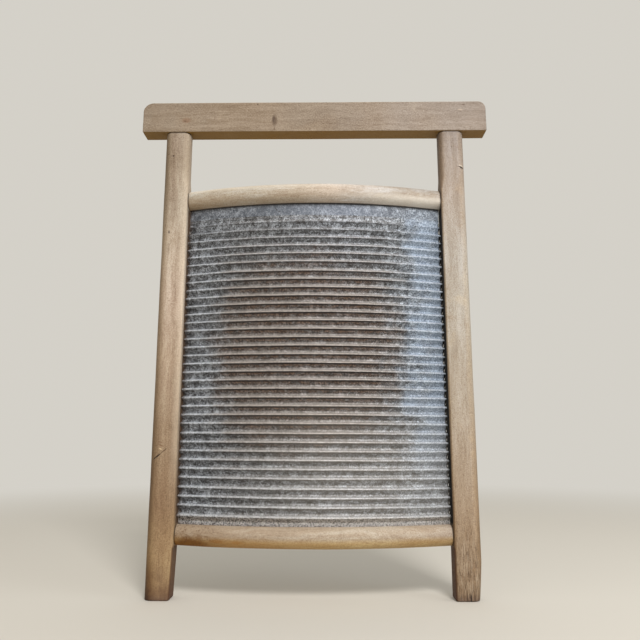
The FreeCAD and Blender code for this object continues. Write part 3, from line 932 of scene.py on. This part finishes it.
def rail_extra(g, lower):
    """The stains and nicks of a rail, painted shade at its ends, grime and painted shade on its
    lower half, and painted highlights and shade over its nose.
    """
    z0 = LOWER_BOTTOM if lower else UPPER_BOTTOM
    if lower:
        spots = [
            ((-137, 0, z0 + 4), (26, 50, 8), (68, 34, 4), 0.95, 0.0),
            ((-141, 0, z0 + 10), (10, 50, 4), (84, 50, 22), 0.60, 0.2),
            ((-127, 0, z0 + 11), (5, 50, 5), (96, 60, 28), 0.50, 0.2),
            ((-107, 0, z0 + 8), (12, 50, 3.4), (124, 80, 34), 0.60, 0.0),
            ((-84, 0, z0 + 7), (10, 50, 3.0), (134, 90, 40), 0.50, 0.0),
            ((-96, -2, z0 + 12), (0.8, 12, 5), STAIN, 0.6, 0.3),
            ((-68, -5, z0 + 11), (0.8, 12, 4), STAIN, 0.5, 0.3),
            ((40, -12, z0 + 13), (1.5, 12, 1.2), STAIN, 0.5, 0.3),
        ]
    else:
        spots = [
            ((-98 + 4.4 * k, -2, z0 + 14 - (k % 3)), (0.9, 12, 4.0), STAIN, 0.42, 0.3)
            for k in range(5)
        ]
        spots.append(((60, -12, z0 + 17), (3.0, 12, 0.9), STAIN, 0.4, 0.2))
    marks(g, spots)
    to_side = g.math("ABSOLUTE", g.x)
    # Painted shade at both ends of the rail, where it meets the posts.
    g.lay(SOOT_AND_JOINT_SHADE, g.remap(to_side, POST_INNER - 2.0, POST_INNER - 0.6, 0.0, 0.8))
    middle = z0 + NOSE_RADIUS
    # Grime and painted shade darken the lower half of the rail; on the lower rail the underside
    # is also tinted yellower.
    low_half = g.remap(g.z, middle + 4.0, middle - 11.0)
    if lower:
        g.lay((140, 96, 26), low_half, g.slide(g.x, -130.0, 60.0, 0.66, 0.04))
        underside = g.remap(g.z, middle + 2.0, middle - 6.0)
        g.tint((1.0, 0.90, 0.60), underside)
        g.lay((236, 188, 120), underside, g.remap(g.x, -120.0, -90.0, 0.0, 0.14))
        # Painted highlight along the top of the lower rail's nose, where the light falls from
        # above.
        g.lay((236, 222, 200), g.remap(g.z, middle + 2.0, middle + 8.0, 0.0, 0.10))
        specks = g.remap(g.noise(g.mm, 2.6, 3.0, 0.7), 0.55, 0.64)
        g.lay((92, 58, 30), specks, g.remap(g.x, -90.0, -130.0, 0.12, 0.60))
    else:
        # Grime and painted shade on the upper rail's lower half, most of it on the left.
        g.lay((150, 112, 60), low_half, g.slide(g.x, -150.0, 40.0, 0.44, 0.0))
        # Painted highlight along the top of the upper rail, painted shade on its top towards the
        # right end, and painted light on its lower half towards the right.
        top_highlight = g.remap(g.z, middle + 3.0, middle + 9.0)
        g.lay((236, 226, 208), top_highlight, g.slide(g.x, -100.0, 60.0, 0.34, 0.0))
        top_right_shade = g.remap(g.z, middle - 2.0, middle + 6.0)
        g.tint((0.72, 0.72, 0.72), top_right_shade, g.slide(g.x, 60.0, 130.0, 0.0, 0.8))
        lit = g.remap(g.x, 30.0, 120.0, 0.0, 0.45)
        g.lay((250, 244, 234), lit, g.remap(g.z, middle, middle - 5.0))
    return 0.0


SCRATCHES = (
    ((-46, -10, 452), (0.9, 14, 4.2), -35),
    ((-42.5, -10, 449.0), (0.8, 14, 2.8), -70),
)


def zinc():
    """Weathered zinc on steel: spangled grey, worn bright on the crests and given a painted
    highlight there, with brown rust, soap dirt and painted shade under them, mostly across the
    middle of the sheet. Painted light and a painted bluish reflection brighten the right side,
    and painted shade darkens the strip under the upper rail and the valleys at the right edge."""
    g = Graph("weathered_zinc")
    phase = g.attribute("phase")
    ridged = g.remap(phase, -0.6, -0.4)
    past_crest = g.math("SUBTRACT", phase, g.math("GREATER_THAN", phase, 0.5))

    spangle = g.split(g.cells(g.mm, 3.2).outputs["Color"])[0]
    speck = g.noise(g.mm, 1.7, 3.0, 0.85)
    grit = g.noise(g.mm, 0.8, 2.0, 0.8)
    stretch = g.vector("MULTIPLY", g.mm, (0.35, 0.35, 1.0))
    smear = g.noise(stretch, 2.6, 3.0, 0.65)
    cloud = g.noise(g.mm, 30.0, 4.0, 0.6)
    patch = g.noise(g.mm, 9.0, 4.0, 0.65)

    g.colour = g.ramp(
        g.blend((speck, 0.50), (spangle, 0.08), (grit, 0.18), (patch, 0.24)),
        [
            (0.42, rgb(44, 45, 47)),
            (0.48, rgb(98, 100, 103)),
            (0.53, rgb(142, 146, 151)),
            (0.60, rgb(204, 210, 217)),
        ],
    )
    flat = g.remap(phase, -0.4, -0.6)
    calm = g.remap(g.math("ABSOLUTE", g.x), 120.0, 50.0, 0.30, 0.58)
    g.lay((108, 116, 129), flat, calm)
    # Painted light: the sheet is tinted darker on the left and brighter and bluer towards the
    # right, where the light falls.
    side_light_stops = [
        (0.0, (0.82, 0.83, 0.86)),
        (0.30, (0.76, 0.76, 0.77)),
        (0.62, (0.86, 0.88, 0.93)),
        (1.0, (0.94, 0.97, 1.0)),
    ]
    side_share = g.slide(g.x, -POST_INNER, POST_INNER)
    g.tint(g.ramp(side_share, side_light_stops), 1.0)
    # A pale bluish cast over the right side: paler zinc and a painted bluish reflection.
    wander = g.slide(cloud, 0.3, 0.7, -28.0, 28.0)
    frost_and_reflection = g.remap(g.plus(g.x, wander), 92.0, 142.0, 0.0, 0.78)
    upwards = g.remap(g.z, 100.0, 220.0, 0.10, 1.0)
    frost_and_reflection_colour = g.ramp(speck, [(0.38, rgb(98, 112, 132)), (0.62, rgb(186, 202, 222))])
    g.lay(frost_and_reflection_colour, frost_and_reflection, upwards, g.remap(ridged, 0.0, 1.0, 0.30, 1.0))

    across = g.math("ABSOLUTE", g.math("DIVIDE", g.plus(g.x, 8.0), 112.0))
    across = g.math("POWER", across, 2.6)
    up = g.math("POWER", g.math("ABSOLUTE", g.math("DIVIDE", g.plus(g.z, -275.0), 120.0)), 2.2)
    drift = g.slide(cloud, 0.2, 0.8, -0.45, 0.45)
    middle = g.times(g.remap(g.plus(g.plus(across, up), drift), 1.25, 0.40), ridged)
    lined = g.times(
        g.remap(g.plus(across, drift), 1.25, 0.45), ridged,
        g.remap(g.z, 110.0, 210.0, 0.30, 1.0), g.remap(g.z, 434.0, 350.0, 0.30, 1.0),
    )

    under = g.times(g.remap(phase, 0.02, 0.08), g.remap(phase, 0.72, 0.12))
    rust = g.times(middle, under, g.remap(smear, 0.34, 0.58))
    stops = [(0.42, rgb(40, 20, 12)), (0.50, rgb(104, 68, 44)), (0.58, rgb(182, 138, 102))]
    g.tint(rgb(226, 206, 190), middle, 0.60, g.remap(g.z, 425.0, 345.0, 0.10, 1.0))
    g.lay(g.ramp(speck, stops), rust, 0.72)
    # Painted shade on the lower flank of each ridge, darkest just under the crest.
    shaded = g.times(g.slide(phase, 0.8, 0.05), ridged)
    shaded_share = g.math("MULTIPLY_ADD", lined, 0.42, g.remap(g.x, 60.0, 120.0, 0.16, 0.02))
    g.lay((58, 50, 44), shaded, shaded_share)
    g.lay((176, 168, 160), g.remap(phase, 0.45, 0.80), lined, 0.35)

    line = g.times(
        g.remap(past_crest, 0.01, 0.05), g.remap(past_crest, 0.27, 0.15),
        g.math("MULTIPLY_ADD", lined, 0.92, 0.06), g.remap(smear, 0.28, 0.44), ridged,
    )
    g.lay((20, 9, 7), line)

    # Bright crest lines: zinc worn bright on the crests, with a painted highlight.
    off_crest = g.math("ABSOLUTE", g.plus(past_crest, 0.08))
    crest = g.times(
        g.remap(off_crest, 0.15, 0.04), ridged, g.remap(speck, 0.40, 0.54, 0.35, 1.0),
        g.remap(g.z, 434.0, 405.0, 0.15, 1.0), g.slide(lined, 0.0, 1.0, 0.82, 0.52),
    )
    crest_wear_and_highlight_colour = g.mix(lined, rgb(216, 222, 230), rgb(200, 190, 182))
    g.lay(crest_wear_and_highlight_colour, crest, g.remap(g.x, 20.0, 110.0, 1.0, 0.66))

    # Painted shadow on the sheet just under the upper rail.
    g.lay((40, 32, 27), g.remap(g.z, UPPER_BOTTOM - 2.6, UPPER_BOTTOM - 1.0), 0.85)
    rim = POST_INNER - SHEET_SIDE_GAP
    ragged = g.slide(smear, 0.35, 0.65, -1.6, 1.6)
    crust = g.remap(g.plus(g.x, ragged), 4.0 - rim, 1.0 - rim)
    g.lay((74, 56, 42), crust, g.remap(grit, 0.44, 0.54, 0.15, 0.85))
    # Painted shade, near black, in the valleys at the sheet's right edge, beside the right post.
    valley_edge_shade = g.times(g.remap(phase, 0.95, 0.80), g.remap(phase, 0.05, 0.15))
    g.lay((12, 8, 8), g.remap(g.x, rim - 1.8, rim - 0.9), valley_edge_shade)
    foot = g.remap(g.z, LOWER_TOP + 2.4, LOWER_TOP + 0.8)
    g.lay((62, 44, 34), foot, g.remap(speck, 0.54, 0.44), 0.8)
    g.lay((206, 200, 196), g.remap(g.z, 96.0, 86.0), g.remap(speck, 0.44, 0.56), 0.60)
    g.lay((196, 190, 182), g.remap(g.z, 250.0, 130.0), g.remap(g.x, -120.0, 30.0), 0.22)
    for centre, size, tilt in SCRATCHES:
        g.lay((50, 48, 48), g.spot(centre, size, 0.4, tilt), 0.75)

    dull = g.math("MAXIMUM", rust, line)
    rough = g.plus(g.blend((speck, 0.30), (dull, 0.25)), 0.36)
    g.height = g.blend((grit, 0.4), (speck, 0.6), (rust, 0.3))
    g.finish(rough, ZINC_RELIEF, g.slide(dull, 0.0, 0.8, 0.35, 0.03))
    return g.material


def nail_steel():
    """Old wire nails: dark grey steel under a skin of brown rust."""
    g = Graph("rusted_nail_steel")
    crust = g.noise(g.mm, 0.9, 4.0, 0.65)
    stops = [(0.35, rgb(44, 38, 35)), (0.52, rgb(92, 62, 44)), (0.68, rgb(134, 88, 56))]
    g.colour = g.ramp(crust, stops)
    g.height = crust
    rough = g.remap(crust, 0.3, 0.7, 0.45, 0.85)
    g.finish(rough, NAIL_RELIEF, g.remap(crust, 0.4, 0.6, 0.7, 0.1))
    return g.material


# The tints set each piece's brightness along it: its own tone, and painted light and shade.
BAR_WOOD = wood(
    "bar", 0, 1, rgb(190, 172, 152), rgb(166, 146, 124), rgb(136, 114, 92),
    0.25,
    [
        (-BAR_END, (0.59, 0.58, 0.56)), (0.0, (0.61, 0.60, 0.59)),
        (BAR_END / 2, (0.68, 0.70, 0.76)), (BAR_END, (0.60, 0.62, 0.69)),
    ],
    bar_extra,
)
LEFT_WOOD = wood(
    "left_post", 2, 2, rgb(214, 197, 178), rgb(188, 166, 146),
    rgb(150, 126, 104), 0.15,
    [
        (0.0, (0.48, 0.37, 0.24)), (40.0, (0.70, 0.60, 0.41)),
        (100.0, (0.47, 0.38, 0.28)), (190.0, (0.53, 0.47, 0.39)),
        (270.0, (0.81, 0.79, 0.75)), (350.0, (0.89, 0.90, 0.93)),
        (430.0, (0.82, 0.86, 0.87)), (520.0, (0.52, 0.51, 0.48)),
        (BAR_BOTTOM, (0.56, 0.56, 0.55)),
    ],
    lambda g: post_extra(g, -1),
)
RIGHT_WOOD = wood(
    "right_post", 2, 3, rgb(194, 190, 187), rgb(171, 163, 154),
    rgb(141, 128, 116), 0.35,
    [
        (0.0, (0.58, 0.45, 0.31)), (80.0, (0.79, 0.64, 0.48)),
        (150.0, (0.82, 0.71, 0.59)), (230.0, (0.87, 0.81, 0.72)),
        (340.0, (0.93, 0.92, 0.88)), (400.0, (0.96, 0.97, 0.97)),
        (480.0, (0.80, 0.73, 0.68)), (BAR_BOTTOM, (0.58, 0.53, 0.51)),
    ],
    lambda g: post_extra(g, 1),
)
UPPER_WOOD = wood(
    "upper_rail", 0, 4, rgb(219, 213, 208), rgb(195, 181, 167),
    rgb(163, 143, 126), 0.10,
    [
        (-POST_INNER, (0.76, 0.79, 0.76)), (-75.0, (0.77, 0.79, 0.76)),
        (-20.0, (0.86, 0.87, 0.84)), (20.0, (1.0, 1.0, 1.0)),
        (60.0, (0.90, 0.93, 0.97)), (100.0, (0.82, 0.84, 0.85)),
        (POST_INNER, (0.73, 0.72, 0.70)),
    ],
    lambda g: rail_extra(g, False),
)
LOWER_WOOD = wood(
    "lower_rail", 0, 5, rgb(214, 199, 178), rgb(190, 168, 142),
    rgb(156, 130, 102), 0.10,
    [
        (-POST_INNER, (0.54, 0.50, 0.46)), (-60.0, (0.63, 0.61, 0.60)),
        (60.0, (0.82, 0.86, 0.92)), (110.0, (0.72, 0.72, 0.74)),
        (POST_INNER, (0.62, 0.60, 0.62)),
    ],
    lambda g: rail_extra(g, True),
)
ZINC = zinc()
NAIL_STEEL = nail_steel()

finish_piece(build_bar(), "top_bar", BAR_WOOD)
finish_piece(build_post(-1, 11), "left_post", LEFT_WOOD)
finish_piece(build_post(1, 23), "right_post", RIGHT_WOOD)
upper = build_rail("rail_upper", UPPER_BOTTOM, False, 37)
finish_piece(upper, "upper_rail", UPPER_WOOD)
lower = build_rail("rail_lower", LOWER_BOTTOM, True, 41)
finish_piece(lower, "lower_rail", LOWER_WOOD)
finish_piece(build_sheet(), "corrugated_sheet", ZINC)
for nails in ("rail_nails", "bar_nails"):
    for material_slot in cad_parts[nails].material_slots:
        material_slot.material = NAIL_STEEL

# ---- floor, light and camera ---------------------------------------------------------

PALE = (0.66, 0.635, 0.58, 1.0)
FLOOR_COLOUR = (0.60, 0.575, 0.525, 1.0)
FLOOR_RINGS = (0.6, 1.2, 2.0, 3.0, 5.0, 9.0)  # radii, m
FLOOR_FADE = (700.0, 1900.0)  # from the floor's own colour to the world's, mm
LIGHT_TARGET = (0.0, 0.0, 0.3)
CAMERA_PLACE = (0.01575, -0.7261, 0.1788)
CAMERA_TILT = 100.67
CAMERA_TURN = 0.65
CAMERA_LENS = 34.81


def build_stage():
    """A wide pale floor that fades into the pale world around it."""
    points, faces = [(0.0, 0.0, 0.0)], []
    steps = 64
    for radius in FLOOR_RINGS:
        for k in range(steps):
            a = 2 * math.pi * k / steps
            points.append((radius * math.cos(a), radius * math.sin(a), 0.0))
    for k in range(steps):
        faces.append((0, 1 + k, 1 + (k + 1) % steps))
    for r in range(len(FLOOR_RINGS) - 1):
        for k in range(steps):
            a, b = 1 + r * steps, 1 + (r + 1) * steps
            faces.append((a + k, b + k, b + (k + 1) % steps, a + (k + 1) % steps))
    mesh = bpy.data.meshes.new("floor")
    mesh.from_pydata(points, [], faces)
    add_object("floor", mesh)
    g = Graph("pale_floor")
    g.shader.inputs["Base Color"].default_value = FLOOR_COLOUR
    g.shader.inputs["Roughness"].default_value = 0.85
    glow = g.node("ShaderNodeEmission")
    glow.inputs["Color"].default_value = PALE
    blend = g.node("ShaderNodeMixShader")
    flat_place = g.vector("MULTIPLY", g.mm, (1.0, 1.0, 0.0))
    g.feed(blend.inputs[0], g.remap(g.vector("LENGTH", flat_place), *FLOOR_FADE))
    g.tree.links.new(g.shader.outputs["BSDF"], blend.inputs[1])
    g.tree.links.new(glow.outputs[0], blend.inputs[2])
    g.tree.links.new(blend.outputs[0], g.output.inputs["Surface"])
    mesh.materials.append(g.material)


def add_light(name, place, size, power, colour):
    """A round lamp of the given size in m, aimed at the board."""
    data = bpy.data.lights.new(name, "AREA")
    data.shape = "DISK"
    data.size = size
    data.energy = power
    data.color = colour
    lamp = add_object(name, data)
    lamp.location = place
    aim = Vector(LIGHT_TARGET) - Vector(place)
    lamp.rotation_euler = aim.to_track_quat("-Z", "Y").to_euler()


def build_camera():
    """The camera stands a little below the middle of the board and looks slightly up."""
    data = bpy.data.cameras.new("camera")
    data.lens = CAMERA_LENS
    data.sensor_width = 36.0
    camera = add_object("camera", data)
    camera.location = CAMERA_PLACE
    camera.rotation_euler = (math.radians(CAMERA_TILT), 0.0, math.radians(CAMERA_TURN))
    bpy.context.scene.camera = camera


build_stage()
add_light("key", (0.52, -1.65, 1.75), 0.7, 40.0, (1.0, 0.97, 0.94))
add_light("side", (1.6, -0.6, 0.75), 0.9, 5.0, (0.86, 0.93, 1.0))
world = bpy.data.worlds.new("pale_room")
world.use_nodes = True
background = world.node_tree.nodes["Background"]
background.inputs["Color"].default_value = PALE
background.inputs["Strength"].default_value = 1.0
bpy.context.scene.world = world
bpy.context.scene.view_settings.view_transform = "Standard"
build_camera()
